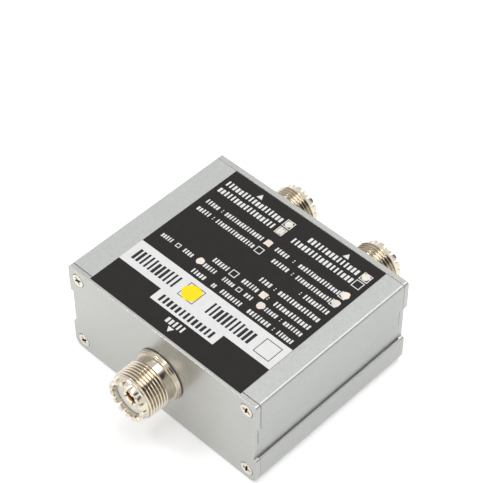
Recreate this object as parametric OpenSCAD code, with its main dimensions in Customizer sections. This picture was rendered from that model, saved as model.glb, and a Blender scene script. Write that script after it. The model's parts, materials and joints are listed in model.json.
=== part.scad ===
// Antenna combiner: a two-piece extruded aluminium case with two end panels,
// one coaxial socket on the front panel and two on the rear panel.
// X runs across the case, Y from front to rear and Z up.
// The origin is at the middle of the case's underside. All sizes are in millimetres.

/* [Case] */
// Width of the case
case_w = 76; // [74:1:84]
// Height of the case
case_h = 35; // [35:1:42]
// Length of the lower shell, between the two end panels
shell_len = 60; // [60:1:80]
// Wall thickness of both shells
wall_t = 1.4; // [1.2:0.1:1.6]
// Height of the wide band along the top and along the bottom
band_h = 10.6; // [10:0.1:12]
// How far the waist between the two bands is set in
waist_depth = 1.1; // [0.7:0.1:1.3]
// Radius of the case's top corners
top_corner_r = 1; // [0.4:0.1:1.2]
// Radius of the case's bottom corners
bottom_corner_r = 3; // [1:0.1:3.4]
// Edge radius where a band meets the waist, on the shells
ledge_edge_r = 0.3; // [0.1:0.05:0.5]
// Width of the groove at the foot of the waist
groove_w = 0.35; // [0.2:0.05:0.5]
// Depth of the groove at the foot of the waist
groove_d = 0.8; // [0.3:0.1:0.9]
// How far the joint between the shells lies below mid-height
joint_drop = 0.5; // [0:0.1:1.5]
// Thickness of the lower shell's tongue inside the joint
tongue_t = 0.65; // [0.4:0.05:0.8]
// Height of the lower shell's tongue
tongue_h = 1.2; // [0.6:0.1:2]
// Gap at each end of the upper shell, which is cut a little short
upper_end_gap = 0.15; // [0.05:0.05:0.3]

/* [End panels] */
// Thickness of each end panel
panel_t = 1.8; // [1.5:0.1:2.4]
// Radius of the panel's corner under the waist notch
notch_corner_r = 0.8; // [0.2:0.1:1.5]
// Distance from a side of the case to a screw's axis
screw_inset_x = 3.9; // [3.8:0.1:5]
// Distance from the top or bottom of the case to a screw's axis
screw_inset_z = 3.95; // [3.8:0.05:4.2]

/* [Screws] */
// Thread diameter of the panel screws
screw_d = 2.5; // [2.5:0.5:3]
// Head diameter of the panel screws
head_d = 4.6; // [4.4:0.1:5.4]
// Width of the ring between a screw head and the panel's face
head_ring = 0.2; // [0.1:0.05:0.25]
// Overall length of the panel screws
screw_len = 8; // [6:1:12]
// Width of each arm of the cross recess
recess_w = 0.5; // [0.4:0.05:0.8]
// Span of the cross recess
recess_span = 3; // [2:0.1:3.2]
// Depth of the cross recess
recess_depth = 1.1; // [0.6:0.1:1.3]

/* [Sockets] */
// Distance between the two rear sockets
rear_spacing = 34; // [30:1:38]
// Outside diameter of the coupling thread, 5/8 inch
thread_d = 15.88; // [15.8:0.01:15.95]
// Length of the coupling thread
thread_len = 7.1; // [6:0.1:9]
// How far the thread's start stands off the panel
thread_start = 4.5; // [4.2:0.1:6]
// Diameter of the collar against the panel
collar_d = 17.6; // [17:0.1:19]
// Thickness of the collar
collar_t = 1.4; // [1:0.05:2]
// Diameter of the shoulder outside the collar
shoulder_d = 16.9; // [16.2:0.1:17]
// Thickness of the shoulder
shoulder_t = 0.4; // [0.4:0.1:1.5]
// Diameter of the relief between shoulder and thread
relief_d = 14.7; // [13.4:0.1:15]
// Diameter of the nose that carries the teeth
nose_d = 14.3; // [13.6:0.1:15]
// Length of the taper between thread and nose
nose_taper = 0.7; // [0.4:0.1:1]
// How far the nose runs below the teeth
nose_len = 0.2; // [0.1:0.1:1]
// Number of teeth round the mouth
tooth_count = 16; // [12:1:20]
// Height of the teeth
tooth_h = 1.6; // [1:0.1:2]
// Gap between two teeth at their tips
tooth_gap_tip = 1.1; // [0.8:0.05:1.5]
// Gap between two teeth at their roots
tooth_gap_root = 0.5; // [0.3:0.05:0.8]
// Turn of the teeth from the level position
tooth_turn = 19; // [0:1:22]
// Diameter of the threaded stem behind the panel
stem_d = 12.7; // [12.4:0.1:13]
// Length of the stem behind the panel's outer face
stem_len = 9; // [8:0.5:10]
// Diameter of the insulator in the mouth
insulator_d = 11.2; // [10.8:0.1:11.4]
// Diameter of the insulator in the stem
insulator_stem_d = 8.8; // [8:0.1:9.4]
// Height of the insulator's shoulder above the panel
insulator_seat = 1.5; // [1:0.1:2.5]
// How far the insulator stands out behind the stem
insulator_tail = 0.5; // [0.2:0.1:1]
// Outside diameter of the centre contact
contact_d = 5.5; // [5:0.1:6]
// Bore of the centre contact, for a 4 mm pin
contact_bore_d = 4; // [3.98:0.01:4.05]
// Depth of the centre contact's bore
contact_bore_len = 10; // [8:0.5:10.5]
// How far the contact stands out of the insulator
contact_proud = 0.2; // [0.1:0.1:0.5]
// Width of the slots in the centre contact
slot_w = 0.5; // [0.3:0.1:0.7]
// Length of the slots in the centre contact
slot_len = 5; // [3:0.5:8]
// Diameter of the contact's solder cup
cup_d = 3.2; // [2.8:0.1:3.6]
// How far the solder cup stands out behind the insulator
cup_len = 4; // [3:0.5:6]

/* [Socket fixings] */
// Width across the flats of the nut
nut_af = 17; // [16:0.5:17]
// Thickness of the nut
nut_t = 2.5; // [2:0.1:3]
// Outside diameter of the earth tag's ring
tag_d = 16; // [15:0.1:17]
// Sheet thickness of the earth tag
tag_t = 0.5; // [0.3:0.05:0.5]
// Width of the earth tag's ear
tag_w = 4; // [3:0.5:6]
// How far the ear's middle stands out of the ring
tag_ear = 2; // [1.5:0.1:2.5]
// Diameter of the solder hole in the ear
tag_eye_d = 1.6; // [1:0.1:2]

/* [Board] */
// Thickness of the circuit board
board_t = 1.6; // [1.2:0.1:1.6]
// Gap between each end panel and the board
board_end_gap = 5.5; // [5:0.5:8]
// Radius of the screw bosses in the corners of the shells
boss_r = 2.7; // [2.6:0.05:2.75]
// Diameter of the wires that join the sockets to the board
link_d = 1.6; // [1:0.1:1.8]
// Inside radius of the bend in those wires
link_bend = 1.2; // [0.8:0.1:2]

/* [Filter parts] */
// Wire diameter of the coils
coil_wire_d = 1.2; // [0.8:0.1:1.4]
// Inside diameter of the low-pass coils
low_coil_inner_d = 7; // [5:0.5:8]
// Turns of each low-pass coil
low_coil_turns = 8; // [5:1:9]
// Inside diameter of the high-pass coils
high_coil_inner_d = 5; // [4:0.5:6]
// Turns of each high-pass coil
high_coil_turns = 5; // [3:1:6]
// Diameter of the disc capacitors
disc_d = 7; // [5:0.5:8]
// Thickness of the disc capacitors
disc_t = 2.4; // [1.6:0.2:3]
// Diameter of the capacitors' leads
lead_d = 0.6; // [0.4:0.1:0.8]
// Height of the coils and capacitors above the board
part_lift = 1.5; // [1:0.1:3]
// Distance from a side edge of the board to the middle of the outer filter parts
side_gap = 9.5; // [9:0.5:11]
// Place of the inner filter parts, as a share of the board's width from its middle
inner_share = 0.18; // [0.17:0.005:0.19]

/* [Label] */
// Width of the label
label_w = 60.4; // [60:0.2:64]
// Length of the label
label_len = 60.5; // [60:0.1:61]
// Thickness of the label
label_t = 0.1; // [0.05:0.05:0.3]
// Distance from the front face to the label's front edge
label_front_inset = 1; // [0.5:0.1:1.8]
// How far the label sits to the right of the middle
label_shift = 0.8; // [-1:0.1:1]
// Thickness of one layer of print
ink_t = 0.03; // [0.02:0.01:0.06]
// Distance from the label's front edge to the white field
field_inset = 11.4; // [11:0.1:12]
// Length of the white field, front to rear
field_len = 9.5; // [9:0.1:10]
// Width of the tab in front of the white field
tab_w = 25.2; // [20:0.2:28]
// Length of the tab in front of the white field
tab_len = 4.5; // [4:0.1:5]
// Side of the large boxes in the white field
big_box = 6; // [5:0.1:7]
// Side of the boxes beside the rear sockets' rows
row_box = 3.1; // [2.6:0.1:3.2]
// Side of the smaller boxes
small_box = 2.5; // [2.1:0.1:2.7]
// Width of the lines that draw the boxes
line_w = 0.3; // [0.2:0.05:0.4]
// Diameter of the pale paint marks
mark_d = 2.7; // [2:0.1:3]
// Diameter of the yellow paint mark
yellow_d = 6.2; // [4:0.1:7]

/* [Hidden] */

$fn = 48;

// Small amount by which a cutter passes the face that it cuts
slack = 0.5;
// Gap round a part that is pushed into its seat
seat_gap = 0.02;
// Gap round a thread that is drawn as a plain cylinder
thread_gap = 0.05;
// Gap round a part that passes through a hole
hole_gap = 0.1;
// Gap between the board's faces and edges and the shell
board_gap = 0.1;

// Case
case_len = shell_len + 2 * panel_t;
waist_w = case_w - 2 * waist_depth;
cavity_w = case_w - 2 * wall_t;
waist_cavity_w = waist_w - 2 * wall_t;
joint_z = case_h / 2 - joint_drop;
screw_x = case_w / 2 - screw_inset_x;
socket_z = case_h / 2;
upper_len = shell_len - 2 * upper_end_gap;

// Board, which lies on the lower bosses
board_z = screw_inset_z + boss_r;
board_top = board_z + board_t;
board_w = cavity_w - 2 * board_gap;
board_len = shell_len - 2 * board_end_gap;

// Screws
head_cone_h = (head_d - screw_d) / 2;
head_rim_h = 0.15;
head_sink = head_ring - head_rim_h;
screw_point = 0.4;

// Socket heights above the panel's outer face
shoulder_top = collar_t + shoulder_t;
thread_end = thread_start + thread_len;
tooth_root = thread_end + nose_taper + nose_len;
mouth_top = tooth_root + tooth_h;
insulator_drop = 0.4;
insulator_top = tooth_root - insulator_drop;
contact_top = insulator_top + contact_proud;
contact_base_t = 1;
contact_seat = contact_top - contact_bore_len - contact_base_t;
insulator_end = -stem_len - insulator_tail;
cup_end = insulator_end - cup_len;
cup_bore_d = link_d + 2 * hole_gap;
cup_bore_len = 2.5;
edge_chamfer = 0.25;
tag_hole_d = stem_d + 2 * hole_gap;

// Coils
turn_overlap = 0.06;
coil_pitch = coil_wire_d - turn_overlap;

// Places of the filter parts on the board: x and y
side_x = board_w / 2 - side_gap;
inner_x = board_w * inner_share;
low_front_at = [inner_x, -9.5];
low_middle_at = [side_x, -0.2];
low_rear_at = [inner_x, 9];
high_front_at = [-inner_x, -9];
high_rear_at = [-side_x, 4];
low_capacitors_at = [[side_x, -11], [4, 1], [side_x, 13]];
high_capacitors_at = [[-3, -9], [-inner_x, 1], [-side_x, -8], [-inner_x, 9]];
lead_share = 0.6;

// Label, which bridges the gap between the front panel and the upper shell
label_front = -case_len / 2 + label_front_inset;
label_rear = label_front + label_len;
label_left = label_shift - label_w / 2;
label_right = label_shift + label_w / 2;
field_front = label_front + field_inset;
field_rear = field_front + field_len;
ink_z = case_h + label_t;
upper_ink_z = ink_z + ink_t;

// Heights of the printed rows, as distances ahead of the label's rear edge
row_a = 5.4;
row_b = 9;
row_c = 15;
row_d = 18.9;
row_e = 22.7;
row_f = 26.6;
row_g = 30.5;
row_h = 33.9;
row_i = 37.7;
large_bar_h = 2.3;
small_bar_h = 1.7;
tiny_box = 1.7;

// Bars of the right-hand column: row, height, start and end from the label's right edge
right_bars = [
    [row_a, large_bar_h, 5.6, 25.3], [row_b, large_bar_h, 5, 28.8],
    [row_c, small_bar_h, 4.6, 20.4], [row_c, small_bar_h, 24.5, 29.8],
    [row_d, small_bar_h, 4.6, 18], [row_d, small_bar_h, 21, 27.5],
    [row_e, small_bar_h, 1.8, 11.4],
    [row_f, small_bar_h, 1.8, 17.5], [row_f, small_bar_h, 20.4, 25.1],
    [row_g, small_bar_h, 1.8, 15.7], [row_g, small_bar_h, 22, 28.3],
    [row_h, small_bar_h, 1.8, 8.8], [row_h, small_bar_h, 11.3, 16],
    [row_h, small_bar_h, 19.4, 24.2], [row_h, small_bar_h, 28.2, 32.9],
    [row_i, small_bar_h, 1.8, 7.8], [row_i, small_bar_h, 10.6, 19.3],
    [row_i, small_bar_h, 21.8, 30]
];
// Bars of the left-hand column: row, height, start and end from the label's left edge
left_bars = [
    [row_a, large_bar_h, 1.4, 24.8], [row_b, large_bar_h, 1.4, 24.4],
    [row_c, small_bar_h, 2.2, 7.6], [row_c, small_bar_h, 10.1, 25.6],
    [row_d, small_bar_h, 2.2, 7.6], [row_d, small_bar_h, 10.1, 25.6],
    [row_g, small_bar_h, 20.4, 26.6],
    [row_h, small_bar_h, 2.4, 6.9], [row_h, small_bar_h, 11.4, 16.2],
    [row_h, small_bar_h, 19.8, 24.8],
    [row_i, small_bar_h, 18.7, 24.2], [row_i, small_bar_h, 26, 28.6]
];
// Boxes beside the rows: side, row, distance of the middle from the label's right edge
right_boxes = [
    [row_box, row_a, 3.1], [row_box, row_b, 3.1],
    [small_box, row_c, 2.9], [small_box, row_d, 2.9],
    [small_box, row_g, 31.7], [tiny_box, row_h, 26.4]
];
// Boxes beside the rows: side, row, distance of the middle from the label's left edge
left_boxes = [
    [row_box, row_a, 26.9], [row_box, row_b, 26.9],
    [small_box, row_c, 27.6], [small_box, row_d, 27.6],
    [tiny_box, row_h, 9.1]
];
// Pale paint marks: row and distance of the middle from the label's right edge
right_marks = [[row_a, 3.1], [row_c, 2.9], [row_d, 2.9], [row_g, 19.9], [row_h, 17.7]];
// Pale paint marks: row and distance of the middle from the label's left edge
left_marks = [[row_a, 26.9], [row_b, 26.9], [row_c, 27.6], [row_h, 18]];

arrow_w = 2.2;
arrow_len = 1.9;
rear_arrow_inset = 1.7;
front_arrow_inset = 1.4;
front_bar_len = 7.2;
front_bar_inset = 4.8;
tab_bar_len = 21.6;
tab_bar_h = 2.4;
tab_bar_inset = 1.1;
big_box_inset = 1.8;
big_box_right = 2.1;
big_box_left = 22.2;
title_bar_len = 17.4;
title_bar_h = 1.1;
title_bar_pitch = 1.85;
title_bar_gap = 2.4;
title_bar_count = 3;

// Case sections, drawn with the case's X across and its Z up

// Corner waste outside a quarter circle
module corner_waste(r) {
    difference() {
        square(r + slack);
        circle(r);
    }
}

// Wide band between two heights, with its own lower and upper corner radius
module band_section(low, high, low_r, high_r) {
    difference() {
        translate([-case_w / 2, low]) square([case_w, high - low]);
        for (side = [0, 1]) {
            mirror([side, 0]) {
                translate([case_w / 2 - high_r, high - high_r]) corner_waste(high_r);
                translate([case_w / 2 - low_r, low + low_r]) mirror([0, 1]) corner_waste(low_r);
            }
        }
    }
}

// Outside of the case, with the given edge radius below and above the waist
module case_outline(lower_edge_r, upper_edge_r) {
    band_section(0, band_h, bottom_corner_r, lower_edge_r);
    band_section(case_h - band_h, case_h, upper_edge_r, top_corner_r);
    translate([-waist_w / 2, band_h / 2]) square([waist_w, case_h - band_h]);
}

// Space inside the shells
module cavity_section() {
    translate([-waist_cavity_w / 2, wall_t]) square([waist_cavity_w, case_h - 2 * wall_t]);
    for (low = [wall_t, case_h - band_h + wall_t]) {
        translate([-cavity_w / 2, low]) square([cavity_w, band_h - 2 * wall_t]);
    }
}

// One corner boss with the block that joins it to the walls
module boss_section() {
    translate([screw_x, screw_inset_z]) circle(boss_r);
    translate([screw_x, 0]) square([screw_inset_x, board_z]);
    translate([cavity_w / 2 - boss_r, 0]) square([boss_r, screw_inset_z]);
}

// Rib over the edge of the board
module board_rib_section() {
    rib_w = cavity_w / 2 - waist_cavity_w / 2 + wall_t / 2;
    rib_foot = board_top + board_gap;
    translate([waist_cavity_w / 2, rib_foot]) square([rib_w, band_h - wall_t / 2 - rib_foot]);
}

// Draws its children at both sides and, where asked, at the top too
module mirrored_corners(heights) {
    for (side = [0, 1], top = heights) {
        mirror([side, 0]) translate([0, top * case_h]) mirror([0, top]) children();
    }
}

// Both shells as one closed section
module shell_section() {
    difference() {
        intersection() {
            case_outline(ledge_edge_r, ledge_edge_r);
            union() {
                difference() {
                    case_outline(ledge_edge_r, ledge_edge_r);
                    cavity_section();
                }
                mirrored_corners([0, 1]) boss_section();
                mirrored_corners([0]) board_rib_section();
            }
        }
        mirrored_corners([0, 1]) translate([screw_x, screw_inset_z]) circle(d = screw_d + 2 * thread_gap);
        mirrored_corners([0, 1]) {
            translate([waist_w / 2, band_h - groove_d]) square([groove_w, groove_d + slack]);
        }
    }
}

// Tongue on the lower shell's walls, or the rebate for it
module tongue_section(gap) {
    for (side = [0, 1]) {
        mirror([side, 0]) translate([waist_cavity_w / 2, joint_z]) {
            square([tongue_t + gap, tongue_h + gap]);
        }
    }
}

// Stands a section up and runs it along the case's length, centred
module run_along_case(len) {
    translate([0, len / 2, 0]) rotate([90, 0, 0]) linear_extrude(len) children();
}

module lower_shell() {
    color([0.76, 0.77, 0.77]) run_along_case(shell_len) {
        intersection() {
            shell_section();
            translate([-case_w, 0]) square([2 * case_w, joint_z]);
        }
        tongue_section(0);
    }
}

module upper_shell() {
    color([0.8, 0.81, 0.81]) run_along_case(upper_len) difference() {
        intersection() {
            shell_section();
            translate([-case_w, joint_z]) square([2 * case_w, case_h]);
        }
        tongue_section(thread_gap);
    }
}

// End panels and their screws

// Places its children on a panel's outer face, with Z pointing out of the case
module on_panel(turn) {
    rotate([90, 0, turn]) translate([0, 0, case_len / 2]) children();
}

// Places its children at the four screw positions of a panel
module at_panel_screws() {
    for (x = [-screw_x, screw_x], y = [screw_inset_z, case_h - screw_inset_z]) {
        translate([x, y, 0]) children();
    }
}

// Countersunk clearance hole, cut from the panel's outer face
module screw_hole() {
    hole_d = screw_d + 2 * hole_gap;
    sink_d = head_d + 2 * head_ring;
    sink_h = (sink_d - hole_d) / 2;
    translate([0, 0, -panel_t - slack]) cylinder(d = hole_d, h = panel_t + 2 * slack);
    translate([0, 0, -sink_h]) cylinder(d1 = hole_d, d2 = sink_d, h = sink_h);
    cylinder(d = sink_d, h = slack);
}

module panel(turn, sockets) {
    color([0.74, 0.74, 0.73]) on_panel(turn) difference() {
        translate([0, 0, -panel_t]) linear_extrude(panel_t) case_outline(notch_corner_r, ledge_edge_r);
        at_panel_screws() screw_hole();
        for (x = sockets) {
            translate([x, socket_z, -panel_t - slack])
                cylinder(d = stem_d + 2 * hole_gap, h = panel_t + 2 * slack);
        }
    }
}

module front_panel() {
    panel(0, [0]);
}

module rear_panel() {
    panel(180, [-rear_spacing / 2, rear_spacing / 2]);
}

// Countersunk screw with a cross recess, its face just below the panel's face
module panel_screw() {
    translate([0, 0, -head_sink]) difference() {
        rotate_extrude() polygon([
            [0, 0],
            [head_d / 2, 0],
            [head_d / 2, -head_rim_h],
            [screw_d / 2, -head_rim_h - head_cone_h],
            [screw_d / 2, screw_point - screw_len],
            [screw_d / 2 - screw_point, -screw_len],
            [0, -screw_len]
        ]);
        for (turn = [35, 125]) {
            rotate([0, 0, turn]) translate([-recess_span / 2, -recess_w / 2, -recess_depth])
                cube([recess_span, recess_w, recess_depth + slack]);
        }
    }
}

module front_panel_screws() {
    color([0.83, 0.79, 0.72]) on_panel(0) at_panel_screws() panel_screw();
}

module rear_panel_screws() {
    color([0.83, 0.79, 0.72]) on_panel(180) at_panel_screws() panel_screw();
}

// Sockets: each part is drawn round its own Z axis, with the panel's outer face at zero

// Gap between two teeth, open at the tips
module tooth_gap() {
    reach = nose_d;
    rotate([90, 0, 90]) linear_extrude(reach) polygon([
        [-tooth_gap_root / 2, tooth_root],
        [tooth_gap_root / 2, tooth_root],
        [tooth_gap_tip / 2, mouth_top],
        [tooth_gap_tip / 2, mouth_top + slack],
        [-tooth_gap_tip / 2, mouth_top + slack],
        [-tooth_gap_tip / 2, mouth_top]
    ]);
}

module socket_body() {
    mouth_r = insulator_d / 2 + seat_gap;
    stem_bore_r = insulator_stem_d / 2 + seat_gap;
    color([0.8, 0.75, 0.66]) difference() {
        rotate_extrude() polygon([
            [mouth_r, mouth_top],
            [nose_d / 2 - edge_chamfer, mouth_top],
            [nose_d / 2, mouth_top - edge_chamfer],
            [nose_d / 2, tooth_root - nose_len],
            [thread_d / 2, thread_end],
            [thread_d / 2, thread_start],
            [relief_d / 2, thread_start - edge_chamfer],
            [relief_d / 2, shoulder_top],
            [shoulder_d / 2 - edge_chamfer, shoulder_top],
            [shoulder_d / 2, shoulder_top - edge_chamfer],
            [shoulder_d / 2, collar_t],
            [collar_d / 2 - edge_chamfer, collar_t],
            [collar_d / 2, collar_t - edge_chamfer],
            [collar_d / 2, 0],
            [stem_d / 2, 0],
            [stem_d / 2, -stem_len],
            [stem_bore_r, -stem_len],
            [stem_bore_r, insulator_seat],
            [mouth_r, insulator_seat]
        ]);
        for (tooth = [0 : tooth_count - 1]) {
            rotate([0, 0, tooth_turn + (tooth + 0.5) * 360 / tooth_count]) tooth_gap();
        }
    }
}

module socket_insulator() {
    color([0.92, 0.92, 0.9]) rotate_extrude() polygon([
        [contact_d / 2 + seat_gap, insulator_top],
        [insulator_d / 2, insulator_top],
        [insulator_d / 2, insulator_seat],
        [insulator_stem_d / 2, insulator_seat],
        [insulator_stem_d / 2, insulator_end],
        [cup_d / 2 + seat_gap, insulator_end],
        [cup_d / 2 + seat_gap, contact_seat],
        [contact_d / 2 + seat_gap, contact_seat]
    ]);
}

module socket_contact() {
    lead_in = 0.3;
    color([0.83, 0.62, 0.25]) difference() {
        rotate_extrude() polygon([
            [0, contact_top],
            [contact_d / 2 - lead_in, contact_top],
            [contact_d / 2, contact_top - lead_in],
            [contact_d / 2, contact_seat],
            [cup_d / 2, contact_seat],
            [cup_d / 2, cup_end],
            [0, cup_end]
        ]);
        translate([0, 0, contact_top - contact_bore_len])
            cylinder(d = contact_bore_d, h = contact_bore_len + slack);
        translate([0, 0, cup_end - slack]) cylinder(d = cup_bore_d, h = cup_bore_len + slack);
        for (turn = [20, 110]) {
            rotate([0, 0, turn]) translate([-contact_d, -slot_w / 2, contact_top - slot_len])
                cube([2 * contact_d, slot_w, slot_len + slack]);
        }
    }
}

// Earth tag: a ring under the nut with a round-ended ear for a solder joint
module socket_tag() {
    ear_y = tag_d / 2 + tag_ear;
    color([0.85, 0.83, 0.76]) translate([0, 0, -panel_t - tag_t]) linear_extrude(tag_t) difference() {
        union() {
            circle(d = tag_d);
            translate([-tag_w / 2, 0]) square([tag_w, ear_y]);
            translate([0, ear_y]) circle(d = tag_w);
        }
        circle(d = tag_hole_d);
        translate([0, ear_y]) circle(d = tag_eye_d);
    }
}

module socket_nut() {
    nut_face = -panel_t - tag_t;
    color([0.8, 0.76, 0.68]) translate([0, 0, nut_face - nut_t]) difference() {
        cylinder(d = nut_af / cos(30), h = nut_t, $fn = 6);
        translate([0, 0, -slack]) cylinder(d = stem_d + 2 * thread_gap, h = nut_t + 2 * slack);
    }
}

// Wire from the solder cup down to the board
module link_wire() {
    bend_r = link_bend + link_d / 2;
    level_end = cup_end - slack;
    drop = socket_z - board_top;
    color([0.86, 0.84, 0.8]) {
        translate([0, 0, level_end]) cylinder(d = link_d, h = cup_bore_len + slack);
        translate([0, -bend_r, level_end]) rotate([0, 90, 0]) rotate_extrude(angle = 90)
            translate([bend_r, 0]) circle(d = link_d);
        translate([0, -drop, level_end - bend_r]) rotate([-90, 0, 0])
            cylinder(d = link_d, h = drop - bend_r);
    }
}

// Places its children on a socket's axis
module at_socket(x, turn) {
    on_panel(turn) translate([x, socket_z, 0]) children();
}

module front_socket_body() {
    at_socket(0, 0) socket_body();
}

module front_socket_insulator() {
    at_socket(0, 0) socket_insulator();
}

module front_socket_contact() {
    at_socket(0, 0) socket_contact();
}

module front_socket_tag() {
    at_socket(0, 0) socket_tag();
}

module front_socket_nut() {
    at_socket(0, 0) socket_nut();
}

module front_link_wire() {
    at_socket(0, 0) link_wire();
}

// Left and right are as seen from the front; a rear panel's own X points the other way

module rear_left_socket_body() {
    at_socket(rear_spacing / 2, 180) socket_body();
}

module rear_left_socket_insulator() {
    at_socket(rear_spacing / 2, 180) socket_insulator();
}

module rear_left_socket_contact() {
    at_socket(rear_spacing / 2, 180) socket_contact();
}

module rear_left_socket_tag() {
    at_socket(rear_spacing / 2, 180) socket_tag();
}

module rear_left_socket_nut() {
    at_socket(rear_spacing / 2, 180) socket_nut();
}

module rear_left_link_wire() {
    at_socket(rear_spacing / 2, 180) link_wire();
}

module rear_right_socket_body() {
    at_socket(-rear_spacing / 2, 180) socket_body();
}

module rear_right_socket_insulator() {
    at_socket(-rear_spacing / 2, 180) socket_insulator();
}

module rear_right_socket_contact() {
    at_socket(-rear_spacing / 2, 180) socket_contact();
}

module rear_right_socket_tag() {
    at_socket(-rear_spacing / 2, 180) socket_tag();
}

module rear_right_socket_nut() {
    at_socket(-rear_spacing / 2, 180) socket_nut();
}

module rear_right_link_wire() {
    at_socket(-rear_spacing / 2, 180) link_wire();
}

// Circuit board and filter parts

module circuit_board() {
    color([0.1, 0.36, 0.2]) translate([-board_w / 2, -board_len / 2, board_z])
        cube([board_w, board_len, board_t]);
}

// Places its children on the board's top face
module on_board(at, turn) {
    translate([at[0], at[1], board_top]) rotate([0, 0, turn]) children();
}

// Close-wound coil lying along its own X axis, on a leg at each end
module coil(inner_d, turns) {
    wire_r = coil_wire_d / 2;
    mean_r = inner_d / 2 + wire_r;
    len = (turns - 1) * coil_pitch;
    axis_z = part_lift + mean_r + wire_r;
    color([0.72, 0.38, 0.18]) {
        translate([-len / 2, 0, axis_z]) rotate([0, 90, 0]) rotate_extrude() {
            for (turn = [0 : turns - 1]) translate([mean_r, turn * coil_pitch]) circle(wire_r);
        }
        for (x = [-len / 2, len / 2]) translate([x, 0, 0]) cylinder(r = wire_r, h = part_lift + wire_r);
    }
}

module low_pass_coil_front() {
    on_board(low_front_at, 0) coil(low_coil_inner_d, low_coil_turns);
}

module low_pass_coil_middle() {
    on_board(low_middle_at, 90) coil(low_coil_inner_d, low_coil_turns);
}

module low_pass_coil_rear() {
    on_board(low_rear_at, 0) coil(low_coil_inner_d, low_coil_turns);
}

module high_pass_coil_front() {
    on_board(high_front_at, 90) coil(high_coil_inner_d, high_coil_turns);
}

module high_pass_coil_rear() {
    on_board(high_rear_at, 0) coil(high_coil_inner_d, high_coil_turns);
}

// Disc capacitor standing on its two leads
module disc_capacitor() {
    lead_span = disc_d * lead_share;
    color([0.72, 0.5, 0.24]) {
        translate([0, disc_t / 2, part_lift + disc_d / 2]) rotate([90, 0, 0])
            cylinder(d = disc_d, h = disc_t);
        for (x = [-lead_span / 2, lead_span / 2]) {
            translate([x, 0, 0]) cylinder(d = lead_d, h = part_lift + disc_d / 2);
        }
    }
}

module low_pass_capacitors() {
    for (at = low_capacitors_at) on_board(at, 0) disc_capacitor();
}

module high_pass_capacitors() {
    for (at = high_capacitors_at) on_board(at, 0) disc_capacitor();
}

// Label and its print, as plain fields, boxes and bars

module label() {
    color([0.17, 0.16, 0.15]) translate([label_left, label_front, case_h])
        cube([label_w, label_len, label_t]);
}

// Outlined square box, centred
module box_outline(side) {
    difference() {
        square(side, center = true);
        square(side - 2 * line_w, center = true);
    }
}

// Places its children at a distance from the label's left or right edge, on a row
module from_left(row, inset) {
    translate([label_left + inset, label_rear - row]) children();
}

module from_right(row, inset) {
    translate([label_right - inset, label_rear - row]) children();
}

// Bar between two distances from the place where it starts
module row_bar(height, from, to) {
    translate([from, -height / 2]) square([to - from, height]);
}

module arrow() {
    polygon([[-arrow_w / 2, 0], [arrow_w / 2, 0], [0, arrow_len]]);
}

module label_white_print() {
    color([0.93, 0.93, 0.92]) translate([0, 0, ink_z]) linear_extrude(ink_t) {
        translate([label_left, field_front]) square([label_w, field_len]);
        translate([label_shift - tab_w / 2, field_front - tab_len]) square([tab_w, tab_len]);
        for (bar = right_bars) from_right(bar[0], 0) mirror([1, 0]) row_bar(bar[1], bar[2], bar[3]);
        for (bar = left_bars) from_left(bar[0], 0) row_bar(bar[1], bar[2], bar[3]);
        for (box = right_boxes) from_right(box[1], box[2]) box_outline(box[0]);
        for (box = left_boxes) from_left(box[1], box[2]) box_outline(box[0]);
        for (x = [-rear_spacing / 2, rear_spacing / 2]) {
            translate([label_shift + x, label_rear - rear_arrow_inset - arrow_len]) arrow();
        }
        translate([label_shift, label_front + front_arrow_inset + arrow_len]) mirror([0, 1]) arrow();
        translate([label_shift, label_front + front_bar_inset])
            square([front_bar_len, large_bar_h], center = true);
    }
}

// Middles of the two large boxes in the white field
big_box_y = field_rear - big_box_inset - big_box / 2;
big_box_x = [label_left + big_box_left + big_box / 2, label_right - big_box_right - big_box / 2];

module label_black_print() {
    color([0.12, 0.12, 0.12]) translate([0, 0, upper_ink_z]) linear_extrude(ink_t) {
        for (x = big_box_x) {
            translate([x, big_box_y]) box_outline(big_box);
            for (row = [0 : title_bar_count - 1]) {
                translate([x - big_box / 2 - title_bar_gap - title_bar_len,
                    big_box_y + (row - (title_bar_count - 1) / 2) * title_bar_pitch - title_bar_h / 2])
                    square([title_bar_len, title_bar_h]);
            }
        }
        translate([label_shift - tab_bar_len / 2, field_front - tab_len + tab_bar_inset])
            square([tab_bar_len, tab_bar_h]);
    }
}

module label_pale_marks() {
    color([0.95, 0.92, 0.87]) translate([0, 0, upper_ink_z]) linear_extrude(ink_t) {
        for (mark = right_marks) from_right(mark[0], mark[1]) circle(d = mark_d);
        for (mark = left_marks) from_left(mark[0], mark[1]) circle(d = mark_d);
    }
}

module label_yellow_mark() {
    color([0.97, 0.89, 0.15]) translate([big_box_x[0], big_box_y, upper_ink_z + ink_t])
        cylinder(d = yellow_d, h = ink_t);
}

lower_shell();
upper_shell();
front_panel();
rear_panel();
front_panel_screws();
rear_panel_screws();
front_socket_body();
front_socket_insulator();
front_socket_contact();
front_socket_tag();
front_socket_nut();
front_link_wire();
rear_left_socket_body();
rear_left_socket_insulator();
rear_left_socket_contact();
rear_left_socket_tag();
rear_left_socket_nut();
rear_left_link_wire();
rear_right_socket_body();
rear_right_socket_insulator();
rear_right_socket_contact();
rear_right_socket_tag();
rear_right_socket_nut();
rear_right_link_wire();
circuit_board();
low_pass_coil_front();
low_pass_coil_middle();
low_pass_coil_rear();
high_pass_coil_front();
high_pass_coil_rear();
low_pass_capacitors();
high_pass_capacitors();
label();
label_white_print();
label_black_print();
label_pale_marks();
label_yellow_mark();
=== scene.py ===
import json
import math

import bmesh
import bpy
import numpy as np
from mathutils import Matrix, Vector


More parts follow.
